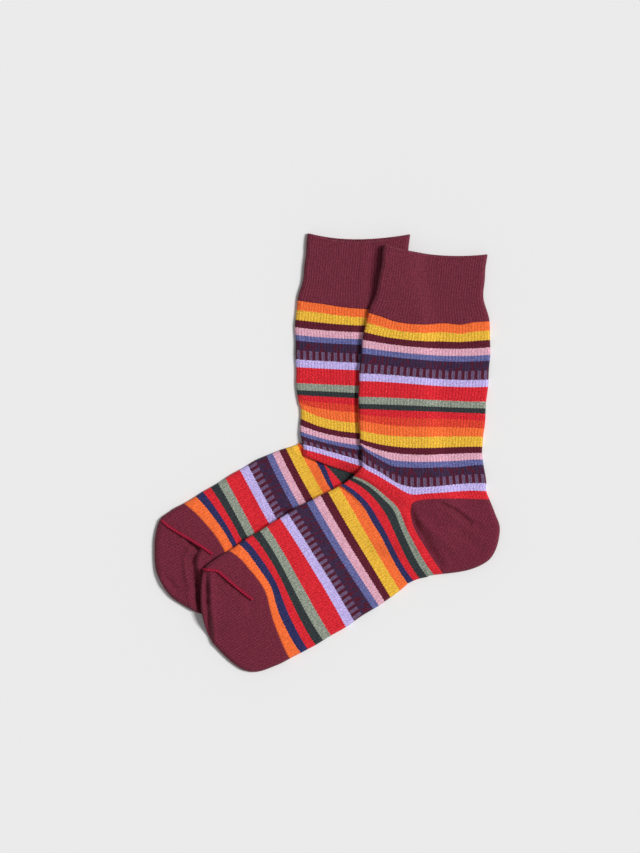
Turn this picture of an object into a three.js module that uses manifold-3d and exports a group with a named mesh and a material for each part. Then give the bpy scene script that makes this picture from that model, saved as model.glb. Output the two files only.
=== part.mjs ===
// A pair of fine-knit crew socks laid flat on their sides, one sock over the other. Each sock is knitted as one
// tube: a ribbed cuff, a striped leg and foot, a turned heel pocket, and a toe pocket closed by a linked seam.
// Millimetres, +Z up. The origin is under the middle of the pair, on the surface that the socks lie on. The cuffs
// point to +Y and the toes to -X -Y.
import * as THREE from "three";
import Module from "manifold-3d";
import { mergeVertices } from "three/addons/utils/BufferGeometryUtils.js";

const wasm = await Module();
wasm.setup();

// The middle of the pair in the tables below
const middle = [0.5, -0.33];

// Cloth
const cuffWall = 1.8; // the cuff is a double welt with elastic
const bodyWall = 1.3;
const toeWall = 1.5;
const pieceGap = 0.3; // between neighbouring knitted pieces
const layerGap = 0.8; // between the under sock and the over sock

// The top layer's rim sags towards the toe by the sock's rimDip, and this much of the cuff goes with it
const rimReach = 19;

// Cuff ribs, counted on the side that shows
const ribCount = 42;
const ribHeight = 0.35;

// How the over sock comes down from the under sock to the surface
const shelfReach = 5; // it stays level this far past the under sock's edge
const dropReach = 17; // and touches the surface this far past it

// Places along a sock, as millimetres of knitting from the cuff's rim down the middle of its side
const cuffEnd = 50.5;
const toeStart = 309;
const toeTip = 354;

// Loft density
const bodyStep = 12;
const toeStep = 7;
const acrossBody = 13;
const cuffStations = [0, 1.2, 19, 36];

// Rows down a sock. s is the place along it; front is the instep edge and back the heel and sole edge, seen from
// above; bow is how far the knitted course swings towards the toe at a third and at two thirds of the way from
// front to back; full is the height of the flattened tube; lift raises the instep side of the top layer, where
// cloth is doubled beneath it. A row marked fold is in the outer skin alone.
const overRows = [
  { s: 0, front: [43, 155], back: [120.5, 148], bow: [3.5, 3.5], full: 6, lift: 0 },
  { s: 19, front: [40, 136], back: [118.5, 131], bow: [4.5, 4], full: 6, lift: 0 },
  { s: 36, front: [36.5, 119], back: [118, 115], bow: [5.5, 4], full: 5.6, lift: 0 },
  { s: 50, front: [31.5, 104.5], back: [122, 98.5], bow: [6, 4], full: 4.8, lift: 0 },
  { s: 68, front: [27, 84], back: [122.5, 78.5], bow: [3, 3], full: 4.4, lift: 0 },
  { s: 91, front: [24.5, 59], back: [121.5, 54.5], bow: [0.5, 1.5], full: 4.4, lift: 0 },
  { s: 116, front: [24, 32.5], back: [119, 29], bow: [0, 0], full: 4.4, lift: 0 },
  { s: 135, front: [24.5, 16.5], back: [117.5, 11.5], bow: [3, 1.5], full: 4.4, lift: 0 },
  { s: 148, front: [25, 7], back: [116.5, -0.5], bow: [5.5, 3.5], full: 4.4, lift: 0 },
  { s: 158, front: [26, 4], back: [118, -9.5], bow: [10, 6], full: 4.5, lift: 0 },
  { s: 172, front: [26, -7.5], back: [119.5, -23.5], bow: [12, 7], full: 4.7, lift: 0 },
  { s: 177.5, front: [26, -11], back: [119.5, -29], bow: [12, 7], full: 5, lift: 0 },
  { s: 181, front: [24.5, -12.5], back: [126, -45], bow: [7.5, 5], full: 5.8, lift: 0 },
  { s: 184, front: [23.5, -14], back: [130, -59], bow: [4.5, 1], full: 6.2, lift: 0 },
  { s: 187, front: [22.5, -15.5], back: [123.5, -79], bow: [0, -1], full: 6.2, lift: 0 },
  { s: 189, front: [21.5, -16.5], back: [107.5, -88], bow: [-4, -3], full: 5.8, lift: 0.1 },
  { s: 191.5, front: [20.5, -17], back: [80.5, -92], bow: [-8.5, -4], full: 5, lift: 0.4 },
  { s: 202.5, front: [16.5, -20.5], back: [70, -95], bow: [-7.5, -3], full: 4.6, lift: 1.3 },
  { s: 213, front: [11, -25], back: [61, -98.5], bow: [-4.5, -1.5], full: 4.4, lift: 2, fold: true },
  { s: 216, front: [9.5, -24.2], back: [58.5, -100.5], bow: [-3, -1], full: 4.4, lift: 0.3, fold: true },
  { s: 221, front: [7, -25], back: [55, -103.5], bow: [-1, 0], full: 4.4, lift: 0 },
  { s: 229.5, front: [1, -29.5], back: [48, -109], bow: [0, 0], full: 4.4, lift: 0 },
  { s: 246, front: [-15, -37.5], back: [35, -117.5], bow: [1, 1], full: 4.4, lift: 0 },
  { s: 267.5, front: [-35, -49], back: [14.5, -131], bow: [-1, -1], full: 4.4, lift: 0 },
  { s: 285, front: [-50, -58.5], back: [-2.5, -141], bow: [-1, 0.5], full: 4.4, lift: 0 },
  { s: 296.5, front: [-61, -65.5], back: [-14, -147.5], bow: [-4.5, -1], full: 4.6, lift: 0 },
  { s: 309, front: [-73, -73.5], back: [-27.5, -155], bow: [-9, -3.5], full: 5.2, lift: 0 },
  { s: 320, front: [-83, -79.5], back: [-38, -160], bow: [-6, -2.5], full: 6, lift: 0 },
  { s: 332, front: [-91.5, -87], back: [-50.5, -164.5], bow: [-4, -2], full: 6.2, lift: 0 },
  { s: 342, front: [-94, -102], back: [-62, -163], bow: [-2, -1], full: 6.2, lift: 0 },
  { s: 348, front: [-94, -115.5], back: [-71.5, -157], bow: [-1, -0.5], full: 6.2, lift: 0 },
  { s: 351.5, front: [-92, -126.5], back: [-79, -150], bow: [0, 0], full: 6.2, lift: 0 },
  { s: 354, front: [-89, -136], back: [-85.5, -143], bow: [0, 0], full: 6.2, lift: 0 },
];
const underRows = [
  { s: 0, front: [-14, 164], back: [62.5, 163], bow: [4, 3.5], full: 6, lift: 0 },
  { s: 19, front: [-16, 145.5], back: [61, 145.5], bow: [4, 4], full: 6, lift: 0 },
  { s: 36, front: [-18, 129], back: [61, 127], bow: [3.5, 3.5], full: 5.6, lift: 0 },
  { s: 50, front: [-21.5, 114], back: [66, 109.5], bow: [3, 3.5], full: 4.8, lift: 0 },
  { s: 68, front: [-23.5, 93.5], back: [68, 89], bow: [1.5, 1], full: 4.4, lift: 0 },
  { s: 91, front: [-23, 69.5], back: [69, 65.5], bow: [0.5, 0.5], full: 4.4, lift: 0 },
  { s: 116, front: [-22, 43], back: [71, 39], bow: [0.5, 0.5], full: 4.4, lift: 0 },
  { s: 135, front: [-19.5, 33], back: [73, 21], bow: [6, 3], full: 4.4, lift: 0 },
  { s: 148, front: [-19.5, 20.5], back: [74, 8.5], bow: [5, 3.5], full: 4.4, lift: 0.2 },
  { s: 158, front: [-19.8, 13], back: [76, -1], bow: [4, 4], full: 4.5, lift: 0.7 },
  { s: 172, front: [-20, 8.8], back: [79, -12], bow: [4.5, 4], full: 4.6, lift: 1.8 },
  { s: 177.5, front: [-20, 7.8], back: [80.5, -19], bow: [7, 5], full: 4.8, lift: 2.3 },
  { s: 184, front: [-20.1, 7.2], back: [87.5, -31], bow: [9.5, 5], full: 5.2, lift: 2.7, fold: true },
  { s: 187, front: [-20.3, 6.9], back: [91, -39], bow: [9, 5.5], full: 5.4, lift: 0.4, fold: true },
  { s: 191.5, front: [-20.6, 6.7], back: [91, -56], bow: [5, 1], full: 5.6, lift: 0.2 },
  { s: 202.5, front: [-21, 6.6], back: [64, -65], bow: [0, -2], full: 5, lift: 0 },
  { s: 213, front: [-21.4, 6.4], back: [27.5, -63.5], bow: [-3, -2], full: 4.4, lift: 0 },
  { s: 221, front: [-22.5, 6], back: [21, -68], bow: [1, 0.5], full: 4.4, lift: 0 },
  { s: 229.5, front: [-30.5, 3], back: [14, -73.5], bow: [1.5, 1.5], full: 4.4, lift: 0 },
  { s: 246, front: [-45, -2.5], back: [1, -82], bow: [2, 2], full: 4.4, lift: 0 },
  { s: 267.5, front: [-65, -13], back: [-19, -95.5], bow: [0.5, 0.5], full: 4.4, lift: 0 },
  { s: 285, front: [-81.5, -23], back: [-36.5, -106], bow: [-0.5, 0], full: 4.4, lift: 0 },
  { s: 296.5, front: [-92.5, -30], back: [-48.5, -112], bow: [-4, -3], full: 4.6, lift: 0 },
  { s: 309, front: [-107, -38.5], back: [-62.5, -118.5], bow: [-10, -5], full: 5.2, lift: 0 },
  { s: 320, front: [-116, -43.5], back: [-74, -122.5], bow: [-7, -3.5], full: 6, lift: 0 },
  { s: 332, front: [-124.5, -50], back: [-86.5, -123], bow: [-4, -2], full: 6.2, lift: 0 },
  { s: 342, front: [-128.5, -64], back: [-98, -119.5], bow: [-2, -1], full: 6.2, lift: 0 },
  { s: 348, front: [-129, -76.5], back: [-108.5, -114], bow: [-1, -0.5], full: 6.2, lift: 0 },
  { s: 351.5, front: [-128, -88], back: [-116, -109], bow: [0, 0], full: 6.2, lift: 0 },
  { s: 354, front: [-125, -96], back: [-121.5, -102.5], bow: [0, 0], full: 6.2, lift: 0 },
];
const foldFade = 0.6; // a fold's lift dies out this far from the front edge

// The largest creases in the top layer: a trough from one point to another, seen from above
const overCreases = [
  { from: [-88, -95], to: [-88.5, -128], depth: 1.5, width: 3 },
  { from: [91, -39], to: [113, -56], depth: 0.9, width: 4 },
  { from: [75, -60], to: [86, -80], depth: 0.7, width: 6 },
];
const underCreases = [
  { from: [-93, -73], to: [-100, -82], depth: 1.6, width: 3 },
  { from: [-100, -82], to: [-101, -95], depth: 1.6, width: 3.5 },
];

// The heel pocket as it shows from the side, from its point at the ankle, and where each sock has it
const heelTop = [[3.5, 3.2], [22, 5.2], [57, 4.6], [90, 4.2]];
const heelFront = [[0.4, -9.5], [3.4, -18.5], [13, -34.5], [24, -51], [34, -68]];
const beyondHeel = [95, -75];
const overHeel = { at: [63, -40], turn: 0 };
const underHeel = { at: [36, -20], turn: 7 };

// The toe seam runs from the instep edge to the end of the toe pocket's gore
const overSeam = [[-90.5, -88], [-84.5, -88.5], [-71, -97.5], [-57, -109.5]];
const underSeam = [[-122.5, -51.5], [-116, -57.5], [-103, -65.5], [-86, -76.5]];
const seamWidth = 2;
const seamHeight = 0.9;

const cloths = {
  rib: new THREE.MeshStandardMaterial({ name: "rib_knit", color: 0x6b2d3d, roughness: 0.9, metalness: 0 }),
  stripe: new THREE.MeshStandardMaterial({ name: "striped_knit", color: 0xd02f3c, roughness: 0.9, metalness: 0 }),
  pocket: new THREE.MeshStandardMaterial({ name: "pocket_knit", color: 0x6e293a, roughness: 0.9, metalness: 0 }),
  thread: new THREE.MeshStandardMaterial({ name: "seam_thread", color: 0x9c1436, roughness: 0.8, metalness: 0 }),
};

const smooth = (x) => {
  const c = THREE.MathUtils.clamp(x, 0, 1);
  return c * c * (3 - 2 * c);
};

// One column of a sock's rows at the place s, on a smooth curve through the rows
function along(rows, s, pick) {
  const last = rows.length - 1;
  let i = 0;
  while (i < last - 1 && rows[i + 1].s <= s) i++;
  const slope = (k) => {
    const before = rows[Math.max(k - 1, 0)];
    const after = rows[Math.min(k + 1, last)];
    return (pick(after) - pick(before)) / (after.s - before.s);
  };
  const span = rows[i + 1].s - rows[i].s;
  const u = THREE.MathUtils.clamp((s - rows[i].s) / span, 0, 1);
  const [u2, u3] = [u * u, u * u * u];
  return (
    (2 * u3 - 3 * u2 + 1) * pick(rows[i]) +
    (u3 - 2 * u2 + u) * span * slope(i) +
    (3 * u2 - 2 * u3) * pick(rows[i + 1]) +
    (u3 - u2) * span * slope(i + 1)
  );
}

const edgeAt = (rows, s, side) =>
  new THREE.Vector2(along(rows, s, (row) => row[side][0]), along(rows, s, (row) => row[side][1]));

// The direction of a sock's edge at s, towards the toe
function edgeDirection(rows, s, side) {
  const reach = 0.5;
  return edgeAt(rows, Math.min(s + reach, toeTip), side).sub(edgeAt(rows, Math.max(s - reach, 0), side)).normalize();
}

// How far a trough or the like lowers the top layer at x, y
function creaseDepth(creases, x, y) {
  let depth = 0;
  for (const crease of creases) {
    const from = new THREE.Vector2(...crease.from);
    const to = new THREE.Vector2(...crease.to);
    const run = to.clone().sub(from);
    const off = new THREE.Vector2(x, y).sub(from);
    const share = THREE.MathUtils.clamp(off.dot(run) / run.lengthSq(), 0, 1);
    const apart = off.sub(run.multiplyScalar(share)).length() / crease.width;
    depth = Math.max(depth, crease.depth * Math.exp(-apart * apart));
  }
  return depth;
}

// A point of the tube's skin. t runs from the front edge, 0, to the back edge, 1; inset is 0 outside and the
// wall's thickness inside.
function skinPoint(sock, s, t, onTop, inset) {
  const plain = sock.rows.filter((row) => !row.fold);
  const rows = inset > 0 ? plain : sock.rows;
  const front = edgeAt(rows, s, "front");
  const back = edgeAt(rows, s, "back");
  const chord = back.clone().sub(front).normalize();
  const [frontRun, backRun] = [edgeDirection(plain, s, "front"), edgeDirection(plain, s, "back")];
  const frontSine = Math.max(Math.abs(chord.cross(frontRun)), 0.2);
  const backSine = Math.max(Math.abs(chord.cross(backRun)), 0.2);
  if (inset > 0) {
    front.add(new THREE.Vector2(-frontRun.y, frontRun.x).multiplyScalar(inset));
    back.add(new THREE.Vector2(backRun.y, -backRun.x).multiplyScalar(inset));
  }
  const width = back.distanceTo(front);
  const [bowA, bowB] = [along(rows, s, (row) => row.bow[0]), along(rows, s, (row) => row.bow[1])];
  const dip = onTop ? sock.rimDip * 4 * t * (1 - t) * (1 - smooth(s / rimReach)) : 0;
  const swing = 4.5 * t * (1 - t) * ((2 - 3 * t) * bowA + (3 * t - 1) * bowB) + dip;
  const plan = front
    .clone()
    .lerp(back, t)
    .add(new THREE.Vector2(chord.y, -chord.x).multiplyScalar(swing));

  const full = along(rows, s, (row) => row.full);
  const radius = full / 2 - inset;
  const fromEdge = Math.min(t * width * frontSine, (1 - t) * width * backSine, toeTip - inset - s);
  const edge = THREE.MathUtils.clamp(fromEdge / radius, 0, 1);
  const round = Math.sqrt(1 - (1 - edge) ** 2);
  const lift = inset > 0 ? 0 : Math.max(along(rows, s, (row) => row.lift), 0) * (1 - smooth(t / foldFade));
  let height = sock.liesOn(plan.x, plan.y) + full / 2;
  if (onTop) height += round * (radius + lift - creaseDepth(sock.creases, plan.x, plan.y));
  else height -= round * radius;
  return new THREE.Vector3(plan.x, plan.y, height);
}

const evenly = (count) => Array.from({ length: count + 1 }, (_, j) => j / count);
const closerAtEdges = (count) => evenly(count).map((u) => (1 - Math.cos(Math.PI * u)) / 2);

// Places along the sock from one s to another: every row between them, with a stretch divided where it is long at
// the front, the middle or the back
function stationsBetween(rows, from, to, step) {
  const stops = [from, ...rows.map((row) => row.s).filter((s) => s > from + 1 && s < to - 1), to];
  const places = [from];
  const run = (side, s, next) => edgeAt(rows, s, side).distanceTo(edgeAt(rows, next, side));
  for (let i = 1; i < stops.length; i++) {
    const [s, next] = [stops[i - 1], stops[i]];
    const parts = Math.ceil(Math.max(next - s, run("front", s, next), run("back", s, next)) / step);
    for (let k = 1; k <= parts; k++) places.push(THREE.MathUtils.lerp(s, next, k / parts));
  }
  return places;
}

function geometryOf(corners) {
  const geometry = new THREE.BufferGeometry();
  geometry.setAttribute("position", new THREE.Float32BufferAttribute(corners.flatMap((p) => [p.x, p.y, p.z]), 3));
  const merged = mergeVertices(geometry, 1e-4);
  merged.computeVertexNormals();
  return merged;
}

// Triangles between rings of the same length, each ring a closed loop
function skinBetween(rings, outward) {
  const corners = [];
  for (let i = 0; i + 1 < rings.length; i++) {
    const [near, far] = [rings[i], rings[i + 1]];
    near.forEach((a, j) => {
      const next = (j + 1) % near.length;
      const quad = [a, far[j], far[next], near[next]];
      const order = outward ? [0, 1, 2, 0, 2, 3] : [0, 2, 1, 0, 3, 2];
      corners.push(...order.map((k) => quad[k]));
    });
  }
  return corners;
}

// A stretch of the tube as a wall: the outer skin, the inner skin and the rims. raise is added to the top of the
// outer skin. A stretch that ends at the toe's tip is closed there.
function tubeWall(sock, stations, topStops, wall, raise = () => 0) {
  const closed = stations.at(-1) === toeTip;
  const undersideStops = closerAtEdges(acrossBody).slice(1, -1).reverse();
  const ring = (s, inset, raised) => [
    ...topStops.map((t, j) => {
      const p = skinPoint(sock, s, t, true, inset);
      if (raised) p.z += raise(j, topStops.length - 1);
      return p;
    }),
    ...undersideStops.map((t) => skinPoint(sock, s, t, false, inset)),
  ];
  const start = stations[0];
  const innerStation = (s) => (closed ? start + ((s - start) * (toeTip - wall - start)) / (toeTip - start) : s);
  const outer = stations.map((s) => ring(s, 0, true));
  const inner = stations.map((s) => ring(innerStation(s), wall, false));
  const corners = [...skinBetween(outer, true), ...skinBetween(inner, false), ...skinBetween([inner[0], outer[0]], true)];
  if (!closed) corners.push(...skinBetween([outer.at(-1), inner.at(-1)], true));
  return geometryOf(corners);
}

// Boolean cuts
function solidOf(geometry) {
  const bare = geometry.clone();
  bare.deleteAttribute("normal");
  if (bare.getAttribute("uv")) bare.deleteAttribute("uv");
  const merged = mergeVertices(bare, 1e-4);
  const mesh = new wasm.Mesh({
    numProp: 3,
    vertProperties: merged.getAttribute("position").array,
    triVerts: new Uint32Array(merged.index.array),
  });
  return new wasm.Manifold(mesh);
}
function geometryFrom(solid) {
  const mesh = solid.getMesh();
  const geometry = new THREE.BufferGeometry();
  geometry.setAttribute("position", new THREE.BufferAttribute(new Float32Array(mesh.vertProperties), 3));
  geometry.setIndex(new THREE.BufferAttribute(new Uint32Array(mesh.triVerts), 1));
  geometry.computeVertexNormals();
  return geometry;
}

// An upright block over the heel pocket's outline, drawn in by grow when that is negative
function heelBlock(heel, grow) {
  const angle = THREE.MathUtils.degToRad(heel.turn);
  const middle = new THREE.Vector2(45, -20);
  const place = ([x, y]) => {
    const p = new THREE.Vector2(x, y);
    const away = p.clone().sub(middle).normalize().multiplyScalar(grow);
    return p.add(away).rotateAround(new THREE.Vector2(), angle).add(new THREE.Vector2(...heel.at));
  };
  const curve = new THREE.CatmullRomCurve3(
    [...[...heelFront].reverse(), [0, -2], ...heelTop].map((p) => new THREE.Vector3(...place(p).toArray(), 0)),
  );
  const outline = curve.getPoints(36).map((p) => new THREE.Vector2(p.x, p.y));
  outline.push(place(beyondHeel));
  const block = new THREE.ExtrudeGeometry(new THREE.Shape(outline), { depth: 60, bevelEnabled: false });
  block.translate(0, 0, -20);
  return solidOf(block);
}

// The linked toe seam: a low ridge on the toe pocket, made from the toe's own points, moved out
function seamRidge(sock, route) {
  const curve = new THREE.CatmullRomCurve3(route.map(([x, y]) => new THREE.Vector3(x, y, 0)));
  const clearance = pieceGap + 0.1;
  const rings = evenly(14).map((u) => {
    const centre = curve.getPointAt(u);
    const side = new THREE.Vector3(0, 0, 1).cross(curve.getTangentAt(u));
    const taper = 0.45 + 0.55 * Math.min(1, 6 * Math.min(u, 1 - u));
    return [
      [-1, 0],
      [-0.6, 0.8],
      [0, 1],
      [0.6, 0.8],
      [1, 0],
    ].map(([across, up]) => {
      const p = centre.clone().addScaledVector(side, (across * seamWidth * taper) / 2);
      p.z = sock.topAt(p.x, p.y) + clearance + up * seamHeight * taper;
      return p;
    });
  });
  const cap = (ring, forward) => {
    const corners = [];
    for (let j = 1; j + 1 < ring.length; j++) corners.push(ring[0], ...(forward ? [ring[j + 1], ring[j]] : [ring[j], ring[j + 1]]));
    return corners;
  };
  return geometryOf([...skinBetween(rings, true), ...cap(rings[0], false), ...cap(rings.at(-1), true)]);
}

// The height of a sock's top skin over x, y: the highest of the nearby skin points
function topFinder(sock, from, to) {
  const points = [];
  for (const s of stationsBetween(sock.rows, from, to, 1.5))
    for (const t of evenly(60)) points.push(skinPoint(sock, s, t, true, 0));
  const near = 2;
  return (x, y) => Math.max(...points.filter((p) => Math.hypot(p.x - x, p.y - y) < near).map((p) => p.z));
}

// How high a second sock is carried over x, y by the sock beneath it
function shelfOver(sock) {
  const spacing = 4;
  const points = [];
  for (const s of stationsBetween(sock.rows, 0, toeTip, spacing))
    for (const t of evenly(24)) {
      const p = skinPoint(sock, s, t, true, 0);
      if (s < cuffEnd) p.z += ribHeight;
      points.push(p);
    }
  return (x, y) => {
    let height = 0;
    for (const p of points) {
      const apart = Math.hypot(p.x - x, p.y - y);
      if (apart >= dropReach) continue;
      height = Math.max(height, (p.z + layerGap) * smooth((dropReach - apart) / (dropReach - shelfReach)));
    }
    return height;
  };
}

function addPiece(group, name, geometry, material) {
  const mesh = new THREE.Mesh(geometry, material);
  mesh.name = name;
  group.add(mesh);
}

function sockPieces(prefix, sock, heel, seam) {
  const group = new THREE.Group();
  const half = pieceGap / 2;
  const rib = (j, last) => (j % 2 && j > 1 && j < last - 1 ? ribHeight : 0);
  const cuff = tubeWall(sock, [...cuffStations, cuffEnd - half], evenly(2 * ribCount), cuffWall, rib);
  addPiece(group, prefix + "_cuff", cuff, cloths.rib);

  const bodyStations = stationsBetween(sock.rows, cuffEnd + half, toeStart - half, bodyStep);
  const tube = solidOf(tubeWall(sock, bodyStations, closerAtEdges(acrossBody), bodyWall));
  const legAndFoot = tube.subtract(heelBlock(heel, pieceGap));
  addPiece(group, prefix + "_leg_and_foot", geometryFrom(legAndFoot), cloths.stripe);
  addPiece(group, prefix + "_heel", geometryFrom(tube.intersect(heelBlock(heel, 0))), cloths.pocket);

  const toeStations = stationsBetween(sock.rows, toeStart + half, toeTip, toeStep);
  addPiece(group, prefix + "_toe", tubeWall(sock, toeStations, closerAtEdges(acrossBody), toeWall), cloths.pocket);
  sock.topAt = topFinder(sock, toeStart, toeTip);
  addPiece(group, prefix + "_toe_seam", seamRidge(sock, seam), cloths.thread);
  return group;
}

const underSock = { rows: underRows, creases: underCreases, rimDip: 2, liesOn: () => 0 };
const overSock = { rows: overRows, creases: overCreases, rimDip: 0.6, liesOn: shelfOver(underSock) };

const pair = new THREE.Group();
pair.name = "pair_of_socks";
pair.position.set(-middle[0], -middle[1], 0);
pair.add(sockPieces("under", underSock, underHeel, underSeam));
pair.add(sockPieces("over", overSock, overHeel, overSeam));

export default pair;
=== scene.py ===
import math

import bpy
import numpy as np
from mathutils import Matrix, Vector


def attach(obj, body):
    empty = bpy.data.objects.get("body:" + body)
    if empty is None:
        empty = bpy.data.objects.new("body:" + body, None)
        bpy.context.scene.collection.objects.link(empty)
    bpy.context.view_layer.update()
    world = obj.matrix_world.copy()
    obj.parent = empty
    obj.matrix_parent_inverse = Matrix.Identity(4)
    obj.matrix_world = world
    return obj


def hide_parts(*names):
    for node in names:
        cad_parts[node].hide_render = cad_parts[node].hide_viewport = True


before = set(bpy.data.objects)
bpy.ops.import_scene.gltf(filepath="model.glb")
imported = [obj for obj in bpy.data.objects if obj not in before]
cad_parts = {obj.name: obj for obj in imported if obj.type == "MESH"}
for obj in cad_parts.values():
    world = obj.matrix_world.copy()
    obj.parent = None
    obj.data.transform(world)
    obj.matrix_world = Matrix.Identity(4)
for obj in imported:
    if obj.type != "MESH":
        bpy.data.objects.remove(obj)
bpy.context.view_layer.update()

# A pair of fine-knit cotton crew socks lying on their sides, one over the other.
# Sizes are in millimetres and become metres in toMetres. "Course" is the distance down a sock from its rim, as on
# the knitting machine, and "across" runs over its face from the instep edge, 0, to the heel and sole edge, 1.

# Camera: straight above, far enough up that the socks' thickness doesn't lean outwards
cameraSettings = {"height": 2.4, "middle": (-0.0054, 0.0195), "floorSeen": 0.63975, "sensor": 36.0}


def newObject(name, data):
    ob = bpy.data.objects.new(name, data)
    bpy.context.scene.collection.objects.link(ob)
    return ob


def addCamera(settings):
    cam = bpy.data.cameras.new("cameraAbove")
    cam.sensor_fit = "AUTO"
    cam.sensor_width = settings["sensor"]
    cam.lens = settings["sensor"] * settings["height"] / settings["floorSeen"]
    cam.clip_end = 20.0
    ob = newObject("cameraAbove", cam)
    ob.location = (*settings["middle"], settings["height"])
    bpy.context.scene.camera = ob


addCamera(cameraSettings)
print("camera placed")

# Places down a sock
cuffEnd = 50.5
toeStart = 309.0
toeTip = 354.0
middle = np.array([0.5, -0.33, 0.0])  # of the pair, in the tables below

# Rows down a sock: the course, its ends at the instep edge (front) and at the heel and sole edge (back), how far
# it swings towards the toe at a third and at two thirds of the way across, the height of the flattened tube, how
# far doubled cloth lifts the instep side of the top layer, and how far a tuck pushes that side towards the toe.
# The rows marked "fold" turn the top layer under itself and have no part in the underside.
# What a row leaves out has its usual value.
rowColumns = ("course", "front", "back", "bow", "full", "lift", "tuck", "kind")
usualRow = (0, (0, 0), (0, 0), (0, 0), 4.4, 0, 0, "")
overRows = [
    (0, (43, 155), (120.5, 148), (3.5, 3.5), 6, 2.8),
    (19, (40, 136), (118.5, 131), (4.5, 4), 6, 2.3),
    (36, (36.5, 119), (118, 115), (5.5, 4), 5.6, 1.5),
    (50, (31.5, 104.5), (122, 98.5), (6, 4), 4.8, 0.5),
    (68, (27, 84), (122.5, 78.5), (3, 3)),
    (91, (24.5, 59), (121.5, 54.5), (0.5, 1.5)),
    (116, (24, 32.5), (119, 29), (0, 0)),
    (127.8, (24.2, 24), (118.2, 17.6), (2.4, 1)),
    (135, (24.5, 16.5), (117.5, 11.5), (3, 1.5)),
    (148, (25, 7), (116.5, -0.5), (5.5, 3.5)),
    (158, (26, 4), (118, -9.5), (10, 6), 4.5),
    (172, (26, -7.5), (119.5, -23.5), (12, 7), 4.7),
    (177.5, (26, -11), (119.5, -29), (12, 7), 5),
    (181, (24.5, -12.5), (126, -45), (7.5, 5), 5.8),
    (184, (23.5, -14), (130, -59), (4.5, 1), 6.2),
    (187, (22.5, -15.5), (123.5, -79), (0, -1), 6.2),
    (189, (21.5, -16.5), (107.5, -88), (-4, -3), 5.8, 0.1),
    (191.5, (20.6, -18), (80.3, -91.9), (-8.5, -4), 5, 0.4),
    (197, (19.1, -19.2), (75.8, -93.4), (-8.6, -3.8), 4.8, 0.8),
    (202.5, (16.5, -20.5), (70, -95), (-7.5, -3), 4.6, 1.2),
    (208.5, (13.2, -23.4), (65.5, -96.7), (-6, -2), 4.5, 1.9, 0.4),
    (212.6, (11.5, -24), (61.4, -98.4), (-4.7, -1.6), 4.4, 2.2, 1.3),
    (213.8, (11.1, -24.2), (60.4, -99.1), (-4.2, -1.4), 4.4, 1.3, 1.4),
    (215.4, (10.7, -24.4), (59.2, -100.1), (-3.4, -1), 4.4, 0.2, 0.6),
    (221, (8.8, -25.1), (55, -103.5), (0, 0.5)),
    (229.5, (1, -29.5), (48, -109), (0.4, 0.2)),
    (246, (-15, -37.5), (35, -117.5), (1, 1)),
    (267.5, (-35, -49), (14.5, -131), (-1, -1)),
    (285, (-50, -58.5), (-2.5, -141), (-1, 0.5)),
    (296.5, (-61, -65.5), (-14, -147.5), (-4.2, -1), 4.6),
    (301.2, (-65.6, -68.6), (-19.1, -150.6), (-4.6, -0.6), 4.8),
    (309, (-73, -73.5), (-27.5, -155), (-8.2, -3.7), 5.2),
    (320, (-83, -79.5), (-38, -160), (-6, -2.5), 6),
    (332, (-91.5, -87), (-50.5, -164.5), (-4, -2), 6.2),
    (342, (-94, -102), (-62, -163), (-2, -1), 6.2),
    (348, (-94, -115.5), (-71.5, -157), (-1, -0.5), 6.2),
    (351.5, (-92, -126.5), (-79, -150), (0, 0), 6.2),
    (354, (-89, -136), (-85.5, -143), (0, 0), 6.2),
]
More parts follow.
